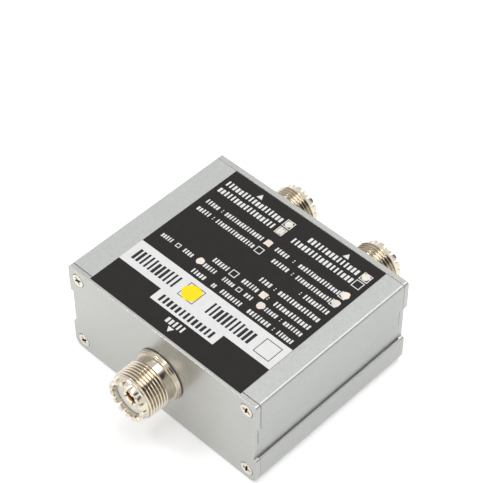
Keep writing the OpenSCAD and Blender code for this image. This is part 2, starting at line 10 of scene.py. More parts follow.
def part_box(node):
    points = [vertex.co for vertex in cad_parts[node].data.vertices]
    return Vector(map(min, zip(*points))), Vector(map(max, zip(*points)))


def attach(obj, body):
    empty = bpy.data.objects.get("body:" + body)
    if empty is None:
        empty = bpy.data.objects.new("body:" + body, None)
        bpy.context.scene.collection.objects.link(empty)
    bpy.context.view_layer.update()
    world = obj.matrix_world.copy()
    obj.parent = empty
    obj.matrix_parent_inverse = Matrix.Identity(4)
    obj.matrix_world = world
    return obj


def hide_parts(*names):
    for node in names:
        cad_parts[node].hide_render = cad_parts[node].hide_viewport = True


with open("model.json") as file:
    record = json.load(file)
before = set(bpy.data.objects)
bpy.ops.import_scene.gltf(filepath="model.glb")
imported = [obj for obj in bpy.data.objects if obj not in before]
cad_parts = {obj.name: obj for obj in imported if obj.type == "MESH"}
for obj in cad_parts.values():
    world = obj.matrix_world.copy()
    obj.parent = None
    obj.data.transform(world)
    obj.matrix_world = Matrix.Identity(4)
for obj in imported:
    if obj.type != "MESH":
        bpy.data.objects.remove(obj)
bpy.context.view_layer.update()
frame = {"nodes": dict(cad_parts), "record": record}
nodes = frame["nodes"]
MM = 0.001
BODY = "root"

# Camera: the photograph's viewing angle, worked out from the case's edges
IMAGE_W = 488
CAM_AZ = math.radians(44.27)
CAM_EL = math.radians(47.41)
CAM_ROLL = math.radians(-0.31)
CAM_DIST = 545.57 * MM
CAM_RIGHT = 1.85 * MM
CAM_UP = 32.86 * MM
FOCAL_PX = 1797.57
SENSOR_MM = 36.0
HALF_PIXEL = 0.5 / IMAGE_W
CLIP_NEAR = 0.01
CLIP_FAR = 10

# Case, label and socket places, taken from the frame
panel_low, panel_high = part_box("front_panel")
label_low, label_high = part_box("label")
FACE_Y = -panel_low.y
CASE_TOP = panel_high.z
SOCKET_Z = CASE_TOP / 2
REAR_X = (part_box("rear_right_socket_nut")[0].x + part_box("rear_right_socket_nut")[1].x) / 2
# Name, x, and -1 for the front panel or 1 for the rear panel
SOCKET_PLACES = (("front", 0.0, -1), ("rear_left", -REAR_X, 1), ("rear_right", REAR_X, 1))
# Head radius of the CAD screws, and how near a screw's middle an edge counts as its hole's
CAD_HEAD_R = 2.3
SCREW_REACH = (CAD_HEAD_R + 0.5) * MM
screws_low, screws_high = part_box("front_panel_screws")
SCREW_PLACES = [(x, z) for x in (screws_low.x + CAD_HEAD_R * MM, screws_high.x - CAD_HEAD_R * MM)
                for z in (screws_low.z + CAD_HEAD_R * MM, screws_high.z - CAD_HEAD_R * MM)]


# Camera

def make_camera():
    back = Vector((math.sin(CAM_AZ) * math.cos(CAM_EL), -math.cos(CAM_AZ) * math.cos(CAM_EL),
                   math.sin(CAM_EL)))
    right = Vector((0, 0, 1)).cross(back).normalized()
    up = back.cross(right)
    turned_right = right * math.cos(CAM_ROLL) + up * math.sin(CAM_ROLL)
    turned_up = up * math.cos(CAM_ROLL) - right * math.sin(CAM_ROLL)
    place = back * CAM_DIST + turned_right * CAM_RIGHT + turned_up * CAM_UP
    turn = Matrix((turned_right, turned_up, back)).transposed().to_4x4()
    data = bpy.data.cameras.new("camera")
    data.sensor_width = SENSOR_MM
    data.lens = FOCAL_PX * SENSOR_MM / IMAGE_W
    data.shift_x = -HALF_PIXEL
    data.shift_y = HALF_PIXEL
    data.clip_start = CLIP_NEAR
    data.clip_end = CLIP_FAR
    camera = bpy.data.objects.new("camera", data)
    camera.matrix_world = Matrix.Translation(place) @ turn
    bpy.context.scene.collection.objects.link(camera)
    bpy.context.scene.camera = camera


# Materials

# Sockets of the mix node, which has one pair for numbers and another for colours
MIX_AMOUNT = 0
MIX_NUMBERS = (2, 3)
MIX_NUMBER_RESULT = 0
MIX_COLOURS = (6, 7)
MIX_COLOUR_RESULT = 2


class Nodes:
    """Short names for the shader nodes of one material, or of the world."""

    def __init__(self, name, of_world=False):
        holder = bpy.data.worlds if of_world else bpy.data.materials
        self.material = holder.new(name)
        self.material.use_nodes = True
        self.tree = self.material.node_tree
        self.shader = self.tree.nodes["Background" if of_world else "Principled BSDF"]

    def add(self, kind, **values):
        made = self.tree.nodes.new(kind)
        for key, value in values.items():
            setattr(made, key, value)
        return made

    def link(self, source, target):
        self.tree.links.new(source, target)

    def place(self, scale):
        """Object coordinates, stretched by a scale for each axis in repeats a metre."""
        coordinates = self.add("ShaderNodeTexCoord")
        mapping = self.add("ShaderNodeMapping")
        mapping.inputs["Scale"].default_value = scale
        self.link(coordinates.outputs["Object"], mapping.inputs["Vector"])
        return mapping.outputs["Vector"]

    def noise(self, scale, detail=3.0, rough=0.55):
        made = self.add("ShaderNodeTexNoise")
        made.inputs["Scale"].default_value = 1.0
        made.inputs["Detail"].default_value = detail
        made.inputs["Roughness"].default_value = rough
        self.link(self.place(scale), made.inputs["Vector"])
        return made.outputs["Fac"]

    def spread(self, source, low, high, start=0.3, end=0.7):
        """Maps a value from start..end to low..high; the range given first suits noise."""
        made = self.add("ShaderNodeMapRange")
        made.inputs["From Min"].default_value = start
        made.inputs["From Max"].default_value = end
        made.inputs["To Min"].default_value = low
        made.inputs["To Max"].default_value = high
        self.link(source, made.inputs["Value"])
        return made.outputs["Result"]

    def blend_colours(self, amount, first, second):
        """A mix of two colours, each given as a plain colour or as another node's output."""
        made = self.add("ShaderNodeMix", data_type="RGBA")
        self.link(amount, made.inputs[MIX_AMOUNT])
        for number, colour in zip(MIX_COLOURS, (first, second)):
            if isinstance(colour, tuple):
                made.inputs[number].default_value = (*colour, 1)
            else:
                self.link(colour, made.inputs[number])
        return made.outputs[MIX_COLOUR_RESULT]

    def combine(self, operation, first, second):
        made = self.add("ShaderNodeMath", operation=operation)
        self.link(first, made.inputs[0])
        self.link(second, made.inputs[1])
        return made.outputs[0]

    def multiply(self, first, second):
        return self.combine("MULTIPLY", first, second)

    def sum(self, first, second):
        return self.combine("ADD", first, second)

    def seen_directly(self):
        """1 for rays that show the background itself: from the camera, and in metal and glass."""
        path = self.add("ShaderNodeLightPath")
        most = path.outputs["Is Camera Ray"]
        for name in ("Is Glossy Ray", "Is Transmission Ray"):
            most = self.combine("MAXIMUM", most, path.outputs[name])
        return most

    def bump(self, height, strength, distance):
        made = self.add("ShaderNodeBump")
        made.inputs["Strength"].default_value = strength
        made.inputs["Distance"].default_value = distance
        self.link(height, made.inputs["Height"])
        self.link(made.outputs["Normal"], self.shader.inputs["Normal"])

    def set(self, **values):
        for key, value in values.items():
            self.shader.inputs[key.replace("_", " ")].default_value = value


# Noise scales in repeats a metre: blasted grain, slow changes of tone, and marks of turning round y
GRAIN_SCALE = (1700, 1700, 1700)
CLOUD_SCALE = (60, 60, 60)
TURNING_SCALE = (300, 9000, 300)
# How much coarser the patches of tone in paint and ink are than their grain
PATCH_SHARE = 12


def shade(colour, factor):
    return tuple(min(1.0, part * factor) for part in colour)


def anodised(name, colour, streak, rough, metallic):
    """Satin anodised aluminium: faint drawing lines along one axis and a bead-blasted grain."""
    m = Nodes(name)
    lines = m.noise(streak, 2.0, 0.5)
    grain = m.noise(GRAIN_SCALE, 2.5, 0.65)
    cloud = m.noise(CLOUD_SCALE, 2.0, 0.5)
    fine = m.multiply(m.spread(lines, 0.0, 1.0), m.spread(cloud, 0.1, 0.35))
    tone = m.blend_colours(m.sum(fine, m.spread(grain, 0.0, 0.75)), shade(colour, 0.90),
                           shade(colour, 1.08))
    m.link(tone, m.shader.inputs["Base Color"])
    m.link(m.spread(grain, rough - 0.04, rough + 0.06), m.shader.inputs["Roughness"])
    m.set(Metallic=metallic)
    relief = m.sum(m.multiply(lines, m.spread(cloud, 0.4, 1.0)), m.spread(grain, 0.0, 1.0))
    m.bump(relief, 0.10, 0.00003)
    return m.material


def plated(name, colour, rough, inside=None, metallic=1.0):
    """Bright plating: turning marks, slight tarnish and a soft change of gloss. The values in inside give a
    painted shade: the dark colour below a depth, that depth counted from the panels' outer faces, and how
    soft the change is, in metres."""
    m = Nodes(name)
    tarnish = m.noise((900, 900, 900), 4.0, 0.6)
    marks = m.noise(TURNING_SCALE, 2.0, 0.5)
    tone = m.blend_colours(m.spread(tarnish, 0.0, 1.0), shade(colour, 0.86), shade(colour, 1.05))
    if inside:
        painted_shade_colour, depth, soft = inside
        coordinates = m.add("ShaderNodeTexCoord")
        parts = m.add("ShaderNodeSeparateXYZ")
        distance = m.add("ShaderNodeMath", operation="ABSOLUTE")
        m.link(coordinates.outputs["Object"], parts.inputs["Vector"])
        m.link(parts.outputs["Y"], distance.inputs[0])
        # Painted shade: the surface below the given depth takes the dark colour
        edge = FACE_Y - depth
        deep = m.spread(distance.outputs[0], 1.0, 0.0, edge - soft, edge + soft)
        tone = m.blend_colours(deep, tone, painted_shade_colour)
    m.link(tone, m.shader.inputs["Base Color"])
    m.link(m.spread(tarnish, rough + 0.08, rough - 0.03), m.shader.inputs["Roughness"])
    m.set(Metallic=metallic)
    m.bump(marks, 0.08, 0.00002)
    return m.material


def thread_plating(name, colour, tarnish_and_shade_colour, rough):
    """Plating as above, with painted shade and some tarnish where the mesh's root value is high: darker in
    the thread's roots, in the gaps between the teeth, in the mouth's groove, on the collar and in its
    foot's undercut."""
    m = Nodes(name)
    tarnish = m.noise((450, 450, 450), 3.0, 0.5)
    marks = m.noise(TURNING_SCALE, 2.0, 0.5)
    tone = m.blend_colours(m.spread(tarnish, 0.0, 1.0), shade(colour, 0.95), shade(colour, 1.03))
    root = m.add("ShaderNodeAttribute", attribute_name="root")
    # Painted shade, with some tarnish, where the root value is high: thread roots, tooth gaps, the mouth's
    # groove and the collar
    tone = m.blend_colours(m.spread(root.outputs["Fac"], 0.0, 1.0, 0.35, 1.0), tone, tarnish_and_shade_colour)
    m.link(tone, m.shader.inputs["Base Color"])
    m.link(m.spread(tarnish, rough + 0.03, rough - 0.02), m.shader.inputs["Roughness"])
    m.set(Metallic=1.0)
    m.bump(marks, 0.04, 0.00001)
    return m.material


def plain(name, colour, rough, grain_scale, grain_depth, variation=0.06, gloss=0.5):
    """Paint, ink, plastic or laminate with a fine grain and a little variation of tone."""
    m = Nodes(name)
    patch_scale = grain_scale / PATCH_SHARE
    grain = m.noise((grain_scale, grain_scale, grain_scale), 3.0, 0.55)
    patch = m.noise((patch_scale, patch_scale, patch_scale), 3.0, 0.5)
    tone = m.blend_colours(m.spread(patch, 0.0, 1.0), shade(colour, 1 - variation),
                           shade(colour, 1 + variation))
    m.link(tone, m.shader.inputs["Base Color"])
    m.link(m.spread(grain, rough - 0.05, rough + 0.08), m.shader.inputs["Roughness"])
    m.set(Specular_IOR_Level=gloss)
    m.bump(grain, 0.15, grain_depth)
    return m.material


def make_materials():
    return {
        "shell": anodised("shell", (0.505, 0.515, 0.50), (5200, 40, 5200), 0.37, 0.55),
        "panel": anodised("panel", (0.505, 0.505, 0.482), (60, 5200, 2600), 0.32, 0.75),
        # The nickel's second colour is painted shade with some tarnish, in the thread's roots, the teeth's
        # gaps, the mouth's groove and on the collar
        "nickel": thread_plating("nickel", (0.70, 0.64, 0.53), (0.27, 0.21, 0.145), 0.12),
        # The screw's dark colour below 0.16 mm is painted shade in the cross recess and round the head's
        # rim
        "screw": plated("screw", (0.84, 0.77, 0.68), 0.28, ((0.07, 0.045, 0.022), 0.16 * MM, 0.08 * MM),
                        metallic=0.7),
        # The contact's dark colour more than 0.6 mm below its top is painted shade inside the bore and
        # slots
        "gold": plated("gold", (0.88, 0.80, 0.60), 0.20, ((0.27, 0.10, 0.015), -11.7 * MM, 0.25 * MM)),
        "tinned_brass": plated("tinned_brass", (0.70, 0.67, 0.58), 0.34),
        "tinned_wire": plated("tinned_wire", (0.68, 0.66, 0.62), 0.30),
        "coil_wire": plated("coil_wire", (0.60, 0.24, 0.09), 0.25),
        "insulator": plain("insulator", (0.80, 0.80, 0.77), 0.35, 3000, 0.00002),
        "board": plain("board", (0.02, 0.13, 0.05), 0.32, 2500, 0.00002, variation=0.15),
        "capacitor": plain("capacitor", (0.48, 0.26, 0.08), 0.38, 2200, 0.00004, variation=0.12),
        "label": plain("label", (0.013, 0.0115, 0.0095), 0.5, 4200, 0.00003, variation=0.12, gloss=0.2),
        "white_ink": plain("white_ink", (0.775, 0.775, 0.77), 0.45, 4200, 0.00002, variation=0.03),
        "black_ink": plain("black_ink", (0.020, 0.020, 0.021), 0.5, 4200, 0.00002, variation=0.10,
                           gloss=0.2),
        "pale_paint": plain("pale_paint", (0.82, 0.74, 0.66), 0.5, 1800, 0.00008, variation=0.10),
        "yellow_paint": plain("yellow_paint", (0.95, 0.77, 0.01), 0.5, 1800, 0.00006, variation=0.05,
                              gloss=0.25),
    }


materials = make_materials()


def give(obj, slot):
    obj.data.materials.clear()
    obj.data.materials.append(materials[slot])


def dress_cad_nodes():
    """Every CAD node gets its finish, also those that the pieces below replace."""
    for part in frame["record"]["subparts"]:
        give(nodes[part["node"]], part["material_slot"])


# Mesh helpers

# Points of a CAD mesh nearer than this are one, and faces that bend by less than this are one flat face
WELD = 0.002 * MM
FLAT_BEND = math.radians(0.5)
# Edges of a CAD mesh that bend by more than this many degrees are broken by a bevel
BEVEL_BEND = 35
BEVEL_SEGMENTS = 3
NORMAL_WEIGHT = 100


def mark_creases(mesh, angle):
    """Smooth shading with a crease at every edge that bends by more than the angle."""
    bm = bmesh.new()
    bm.from_mesh(mesh)
    for face in bm.faces:
        face.smooth = True
    for edge in bm.edges:
        if len(edge.link_faces) == 2:
            edge.smooth = edge.calc_face_angle() < math.radians(angle)
    bm.to_mesh(mesh)
    bm.free()


def level_normals(obj):
    """Keeps flat and straight faces evenly lit up to their rounded edges."""
    level = obj.modifiers.new("level", "WEIGHTED_NORMAL")
    level.keep_sharp = True
    level.weight = NORMAL_WEIGHT


def add_piece(name, verts, faces, slot, replaced, crease=30):
    mesh = bpy.data.meshes.new(name)
    mesh.from_pydata([tuple(v) for v in verts], [], faces)
    mesh.validate()
    bm = bmesh.new()
    bm.from_mesh(mesh)
    bmesh.ops.recalc_face_normals(bm, faces=bm.faces)
    bm.to_mesh(mesh)
    bm.free()
    mark_creases(mesh, crease)
    obj = bpy.data.objects.new(name, mesh)
    bpy.context.scene.collection.objects.link(obj)
    give(obj, slot)
    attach(obj, BODY)
    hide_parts(*replaced)
    return obj


def bevelled_copy(node, slot, width, crease=30, hole_share=1.0):
    """A CAD node's own shape with its sharp edges broken by a small bevel, which is narrower round the
    screw holes by hole_share."""
    bm = bmesh.new()
    bm.from_mesh(nodes[node].data)
    bmesh.ops.remove_doubles(bm, verts=bm.verts, dist=WELD)
    bmesh.ops.dissolve_limit(bm, angle_limit=FLAT_BEND, verts=bm.verts, edges=bm.edges)
    share = bm.edges.layers.float.new("bevel_weight_edge")
    for edge in bm.edges:
        if len(edge.link_faces) == 2 and edge.calc_face_angle() > math.radians(BEVEL_BEND):
            middle = (edge.verts[0].co + edge.verts[1].co) / 2
            to_screw = min(math.hypot(middle.x - x, middle.z - z) for x, z in SCREW_PLACES)
            edge[share] = hole_share if to_screw < SCREW_REACH else 1.0
    mesh = bpy.data.meshes.new(node + "_skin")
    bm.to_mesh(mesh)
    bm.free()
    rough = bpy.data.objects.new(node + "_rough", mesh)
    bpy.context.scene.collection.objects.link(rough)
    bevel = rough.modifiers.new("edges", "BEVEL")
    bevel.width = width * MM
    bevel.segments = BEVEL_SEGMENTS
    bevel.limit_method = "WEIGHT"
    bevel.use_clamp_overlap = True
    bpy.context.view_layer.update()
    evaluated = rough.evaluated_get(bpy.context.evaluated_depsgraph_get())
    shaped = bpy.data.meshes.new_from_object(evaluated)
    bpy.data.objects.remove(rough)
    mark_creases(shaped, crease)
    obj = bpy.data.objects.new(node + "_skin", shaped)
    bpy.context.scene.collection.objects.link(obj)
    level_normals(obj)
    give(obj, slot)
    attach(obj, BODY)
    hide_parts(node)


# Sockets: one closed surface round the axis, with a cut thread and rounded teeth
# Radii and heights are in millimetres here, heights from the panel's outer face outwards

TOOTH_COUNT = 16
TOOTH_TURN = math.radians(19)
TOOTH_ROOT = 12.5
TOOTH_TIP = 14.1
THREAD_FOOT = 4.5
THREAD_HEAD = 11.6
THREAD_R = 7.94
THREAD_PITCH = 25.4 / 24
THREAD_DEPTH = 0.62
THREAD_ROWS = 12
# Share of half a turn that is flat at a crest, and that a flank takes
CREST_SHARE = 0.12
FLANK_SHARE = 0.76
# Turns over which the thread runs out at its ends, and how deep it is cut there at its head
RUNOUT_TURNS = 0.35
RUNOUT_AT_HEAD = 0.75
TOOTH_R = 7.12
MOUTH_R = 5.62
STEM_BORE_R = 4.42
STEM_R = 6.35
STEM_END = -9
SEAT = 1.5
# Root values, which paint shade and some tarnish into the plating: in the gaps between the teeth and on the
# collar
GAP_TARNISH_AND_SHADE = 0.4
COLLAR_TARNISH_AND_SHADE = 0.58
# How far the rounding of the teeth's edges goes on in the gaps between them
GAP_ROUNDING = 0.35

# Half a tooth pitch, from the tip's middle to the gap's middle: share of the pitch and height
TOOTH_SHAPE = [(0.0, 1.0), (0.12, 0.995), (0.19, 0.97), (0.25, 0.925), (0.30, 0.855), (0.34, 0.75),
               (0.37, 0.60), (0.39, 0.42), (0.402, 0.22), (0.415, 0.07), (0.435, 0.0)]
# Groove inside the mouth: radius, height and root value, which paints shade into the groove
GROOVE_ROWS = ((MOUTH_R, 11.6, 0), (MOUTH_R + 0.02, 11.65, 1), (MOUTH_R + 0.2, 11.7, 1),
               (MOUTH_R + 0.2, 12.16, 1), (MOUTH_R + 0.02, 12.2, 1), (MOUTH_R, 12.24, 0))
# Rounded edges of the teeth: radius and depth under the teeth's outline
TOOTH_ROWS = ((MOUTH_R, 0.14), (MOUTH_R + 0.05, 0.04), (MOUTH_R + 0.14, 0.0), (TOOTH_R - 0.2, 0.0),
              (TOOTH_R - 0.07, 0.04), (TOOTH_R - 0.01, 0.12), (TOOTH_R, 0.2))
# From the teeth to the thread: radius and height, as in all the rows below
NOSE_ROWS = ((TOOTH_R + 0.02, TOOTH_ROOT - 0.13), (TOOTH_R + 0.1, 12.22), (7.42, 11.86))
# Neck, shoulder and collar, each of them a slight cone
COLLAR_ROWS = ((7.24, 4.36), (7.18, 4.2), (7.195, 4.08), (7.485, 1.96), (7.5, 1.86), (8.2, 1.82),
               (8.27, 1.78), (8.305, 1.7), (8.335, 1.6), (8.392, 1.4), (8.42, 1.3), (8.52, 1.27),
               (8.565, 1.2), (8.594, 1.1), (8.772, 0.48), (8.8, 0.38))
# Undercut at the collar's foot, with painted shade from its full root value
FOOT_ROWS = ((8.78, 0.31), (8.1, 0.28), (8.1, 0.0))
STEM_ROWS = ((STEM_R, 0), (STEM_R, STEM_END + 0.3), (STEM_R - 0.3, STEM_END), (STEM_BORE_R, STEM_END),
             (STEM_BORE_R, SEAT))


def tooth_columns():
    """Angles round the mouth and the teeth's height at each."""
    pitch = 2 * math.pi / TOOTH_COUNT
    angles = []
    heights = []
    for tooth in range(TOOTH_COUNT):
        middle = TOOTH_TURN + tooth * pitch
        left = [(-share, height) for share, height in reversed(TOOTH_SHAPE[1:])]
        for share, height in left + TOOTH_SHAPE + [(0.5, 0.0)]:
            angles.append(middle + share * pitch)
            heights.append(height)
    return np.array(angles), np.array(heights)


def thread_wave(turns):
    """Depth share of a rounded V thread: 0 at the crest and 1 at the root."""
    phase = np.abs((turns % 1.0) * 2 - 1)
    return np.clip((phase - CREST_SHARE) / FLANK_SHARE, 0, 1)


def socket_rows(angles, heights):
    """Radius, height and root value of each ring of the closed surface, for every angle."""
    tip = TOOTH_ROOT + heights * (TOOTH_TIP - TOOTH_ROOT)
    rows = []

    def ring(radius, height, root=0.0):
        rows.append((np.full_like(angles, radius), height + 0 * angles, root + 0 * angles))

    ring(MOUTH_R, SEAT)
    for radius, height, root in GROOVE_ROWS:
        ring(radius, height, root)
    for radius, drop in TOOTH_ROWS:
        ring(radius, np.maximum(tip - drop, TOOTH_ROOT - GAP_ROUNDING * drop), GAP_TARNISH_AND_SHADE * (1 - heights))
    for radius, height in NOSE_ROWS:
        ring(radius, height)
    steps = int(round((THREAD_HEAD - THREAD_FOOT) / THREAD_PITCH * THREAD_ROWS))
    for step in range(steps + 1):
        height = THREAD_HEAD - step * (THREAD_HEAD - THREAD_FOOT) / steps
        from_foot = height - THREAD_FOOT
        from_head = THREAD_HEAD - height
        ends = min(from_foot, from_head) / (RUNOUT_TURNS * THREAD_PITCH)
        turns = height / THREAD_PITCH - angles / (2 * math.pi)
        depth = THREAD_DEPTH * thread_wave(turns)
        if ends < 1:
            cut = RUNOUT_AT_HEAD if from_head < from_foot else 1.0
            depth = np.maximum(depth, THREAD_DEPTH * (1 - ends) * cut)
        # The thread's depth share is its root value, which paints shade into its roots
        rows.append((THREAD_R - depth, np.full_like(angles, height), depth / THREAD_DEPTH))
    for radius, height in COLLAR_ROWS:
        ring(radius, height, COLLAR_TARNISH_AND_SHADE)
    for radius, height in FOOT_ROWS:
        ring(radius, height, 1)
    for radius, height in STEM_ROWS:
        ring(radius, height)
    return rows


def make_socket(place, x, side):
    """A socket's body. Side is -1 on the front panel and 1 on the rear panel."""
    angles, heights = tooth_columns()
    rows = socket_rows(angles, heights)
    columns = len(angles)
    verts = []
    for radii, along, _ in rows:
        for angle, radius, height in zip(angles, radii, along):
            verts.append((x - side * radius * math.cos(angle) * MM, side * (FACE_Y + height * MM),
                          SOCKET_Z + radius * math.sin(angle) * MM))
    faces = []
    for row in range(len(rows)):
        near = row * columns
        far = ((row + 1) % len(rows)) * columns
        for column in range(columns):
            following = (column + 1) % columns
            faces.append((near + column, near + following, far + following, far + column))
    socket = add_piece(place + "_socket", verts, faces, "nickel", [place + "_socket_body"], crease=38)
    root = socket.data.attributes.new("root", "FLOAT", "POINT")
    values = np.concatenate([value for _, _, value in rows])
    root.data.foreach_set("value", values.astype(np.float32))


# Centre contacts: a gold tube with four slots and a lead-in at its mouth

CONTACT_R = 2.75
CONTACT_BORE_R = 1.95
CONTACT_TOP = 12.3
CONTACT_FLOOR = 2.35
CONTACT_SEAT = 1.3
CUP_R = 1.6
CUP_END = -13.5
CUP_BORE_R = 0.9
CUP_FLOOR = -11.0
SLOT_FOOT = 7.3
SLOT_COUNT = 4
SLOT_TURN = math.radians(20)
SLOT_HALF = math.radians(8)
# Angle that a slot's wall takes, so that it stands nearly upright
SLOT_WALL = 0.004
CONTACT_SIDES = 24
# The bore's and the cup's floors end in a tiny flat face round the axis
FLAT_R = 0.02
# The contact from the bore's floor over the mouth to the cup's floor: radius and height
CONTACT_PROFILE = (
    (FLAT_R, CONTACT_FLOOR), (CONTACT_BORE_R - 0.2, CONTACT_FLOOR), (CONTACT_BORE_R, CONTACT_FLOOR + 0.2),
    (CONTACT_BORE_R, SLOT_FOOT - 0.1), (CONTACT_BORE_R, CONTACT_TOP - 0.42),
    (CONTACT_BORE_R + 0.08, CONTACT_TOP - 0.3), (CONTACT_BORE_R + 0.3, CONTACT_TOP - 0.06),
    (CONTACT_BORE_R + 0.38, CONTACT_TOP), (CONTACT_R - 0.14, CONTACT_TOP),
    (CONTACT_R - 0.03, CONTACT_TOP - 0.06), (CONTACT_R, CONTACT_TOP - 0.2), (CONTACT_R, CONTACT_SEAT),
    (CUP_R, CONTACT_SEAT), (CUP_R, CUP_END), (CUP_BORE_R, CUP_END), (CUP_BORE_R, CUP_FLOOR),
    (FLAT_R, CUP_FLOOR))


def contact_columns():
    """Angles round the contact, and 1 on the wall or 0 in a slot at each."""
    pitch = 2 * math.pi / SLOT_COUNT
    angles = []
    on_wall = []
    for quarter in range(SLOT_COUNT):
        slot = SLOT_TURN + quarter * pitch
        angles += [slot - SLOT_HALF + SLOT_WALL, slot, slot + SLOT_HALF - SLOT_WALL]
        on_wall += [0, 0, 0]
        for step in range(CONTACT_SIDES + 1):
            angles.append(slot + SLOT_HALF + (pitch - 2 * SLOT_HALF) * step / CONTACT_SIDES)
            on_wall.append(1)
    return np.array(angles), np.array(on_wall)


def make_contact(place, x, side):
    angles, on_wall = contact_columns()
    verts = []
    for radius, height in CONTACT_PROFILE:
        for angle, wall in zip(angles, on_wall):
            level = height if wall else min(height, SLOT_FOOT)
            verts.append((x - side * radius * math.cos(angle) * MM, side * (FACE_Y + level * MM),
                          SOCKET_Z + radius * math.sin(angle) * MM))
    columns = len(angles)
    faces = []
    for row in range(len(CONTACT_PROFILE) - 1):
        for column in range(columns):
            following = (column + 1) % columns
            faces.append((row * columns + column, row * columns + following,
                          (row + 1) * columns + following, (row + 1) * columns + column))
    faces.append(tuple(reversed(range(columns))))
    faces.append(tuple((len(CONTACT_PROFILE) - 1) * columns + i for i in range(columns)))
    add_piece(place + "_contact", verts, faces, "gold", [place + "_socket_contact"], crease=40)


# Screws: countersunk heads with a tapered cross recess
# Depths are in millimetres, counted from the panel's outer face inwards

HEAD_R = 2.18
HEAD_DROP = -0.04
HEAD_RIM = 0.18
HEAD_UNDERCUT = 0.1
SHANK_R = 1.25
SHANK_END = 8.0
RECESS_SPAN = 1.5
RECESS_W = 0.36
RECESS_DEPTH = 1.1
RECESS_WALL = 0.07
# The arms of the cross get shallower and narrower outwards: shares at their ends, and how steeply they grow
ARM_END_DEPTH = 0.5
ARM_DEPTH_RISE = 1.2
ARM_END_W = 0.62
ARM_W_RISE = 2
ARM_END_RISE = 12
HEAD_RINGS = 34
HEAD_COLUMNS = 128
HEAD_FACE_R = HEAD_R - 0.08
# Rim, cone and shank under a screw's face: radius and depth
SCREW_PROFILE = ((HEAD_R - 0.02, HEAD_DROP + 0.02), (HEAD_R, HEAD_DROP + 0.07),
                 (HEAD_R - 0.02, HEAD_DROP + HEAD_RIM),
                 (HEAD_R - HEAD_UNDERCUT, HEAD_DROP + HEAD_RIM + 0.04),
                 (SHANK_R, HEAD_DROP + HEAD_RIM + HEAD_R - SHANK_R), (SHANK_R, SHANK_END - 0.35),
                 (SHANK_R - 0.4, SHANK_END))


def recess_depth(u, v):
    """Depth of the cross recess under a point of the head."""
    deepest = 0.0
    for along, across in ((u, v), (v, u)):
        reach = 1 - abs(along) / RECESS_SPAN
        if reach > 0:
            floor = RECESS_DEPTH * min(1.0, ARM_END_DEPTH + ARM_DEPTH_RISE * reach)
            half = RECESS_W * (ARM_END_W + (1 - ARM_END_W) * min(1.0, reach * ARM_W_RISE))
            wall = (half - abs(across)) / RECESS_WALL
            deepest = max(deepest, floor * min(1.0, max(0.0, wall)) * min(1.0, reach * ARM_END_RISE))
    return deepest


def make_screw_set(name, node, side, turns):
    """Four screws of one panel; turns gives the angle of each cross in degrees."""
    verts = []
    faces = []
    for (x, z), turn in zip(SCREW_PLACES, turns):
        start = len(verts)
        rings = [(HEAD_FACE_R * ring / HEAD_RINGS, None) for ring in range(1, HEAD_RINGS + 1)]
        rings += SCREW_PROFILE
        verts.append((x, side * (FACE_Y - (HEAD_DROP + recess_depth(0, 0)) * MM), z))
        for radius, fixed in rings:
            for column in range(HEAD_COLUMNS):
                angle = 2 * math.pi * column / HEAD_COLUMNS
                u = radius * math.cos(angle)
                v = radius * math.sin(angle)
                depth = fixed
                if depth is None:
                    turned = angle - math.radians(turn)
                    depth = HEAD_DROP + recess_depth(radius * math.cos(turned), radius * math.sin(turned))
                verts.append((x + u * MM, side * (FACE_Y - depth * MM), z + v * MM))
        verts.append((x, side * (FACE_Y - SHANK_END * MM), z))
        last = len(verts) - 1
        for column in range(HEAD_COLUMNS):
            following = (column + 1) % HEAD_COLUMNS
            faces.append((start, start + 1 + column, start + 1 + following))
            for ring in range(len(rings) - 1):
                near = start + 1 + ring * HEAD_COLUMNS
                far = near + HEAD_COLUMNS
                faces.append((near + column, far + column, far + following, near + following))
            edge = start + 1 + (len(rings) - 1) * HEAD_COLUMNS
            faces.append((edge + column, last, edge + following))
    add_piece(name, verts, faces, "screw", [node], crease=30)


# Label print: plain fields, boxes and dabs; each word is a row of small bars
# Places on the label are in millimetres

# Shares of a bar's cell and of the row's height, taken in turn by the bars of a row
BAR_WIDTHS = (0.46, 0.62, 0.52, 0.66, 0.44, 0.58)
BAR_HEIGHTS = (1.0, 0.95, 1.0, 0.88, 1.0, 0.93)


class Sheet:
    """Collects flat solids that lie on the label, between two heights above the case."""

    def __init__(self, low, high):
        self.low = low
        self.high = high
        self.verts = []
        self.faces = []

    def outline(self, points):
        start = len(self.verts)
        count = len(points)
        for level in (self.low, self.high):
            self.verts += [(x * MM, y * MM, level * MM) for x, y in points]
        self.faces.append(tuple(start + i for i in reversed(range(count))))
        self.faces.append(tuple(start + count + i for i in range(count)))
        for i in range(count):
            j = (i + 1) % count
            self.faces.append((start + i, start + j, start + count + j, start + count + i))

    def bar(self, x0, x1, y0, y1):
        self.outline([(x0, y0), (x1, y0), (x1, y1), (x0, y1)])

    def square_ring(self, x, y, side, line):
        h = side / 2
        self.bar(x - h, x + h, y - h, y - h + line)
        self.bar(x - h, x + h, y + h - line, y + h)
        self.bar(x - h, x - h + line, y - h + line, y + h - line)
        self.bar(x + h - line, x + h, y - h + line, y + h - line)

    def word(self, x0, x1, y, height, seed, pitch=0.62):
        """A row of plain bars of differing width and height, about as dense as print."""
        count = max(1, int(round((x1 - x0) / (pitch * height))))
        cell = (x1 - x0) / count
        foot = y - height / 2
        for i in range(count):
            pick = (seed * 7 + i * 5 + (i * i) % 3) % len(BAR_WIDTHS)
            wide = cell * BAR_WIDTHS[pick]
            tall = height * BAR_HEIGHTS[pick]
            left = x0 + i * cell + (cell - wide) / 2
            self.bar(left, left + wide, foot, foot + tall)


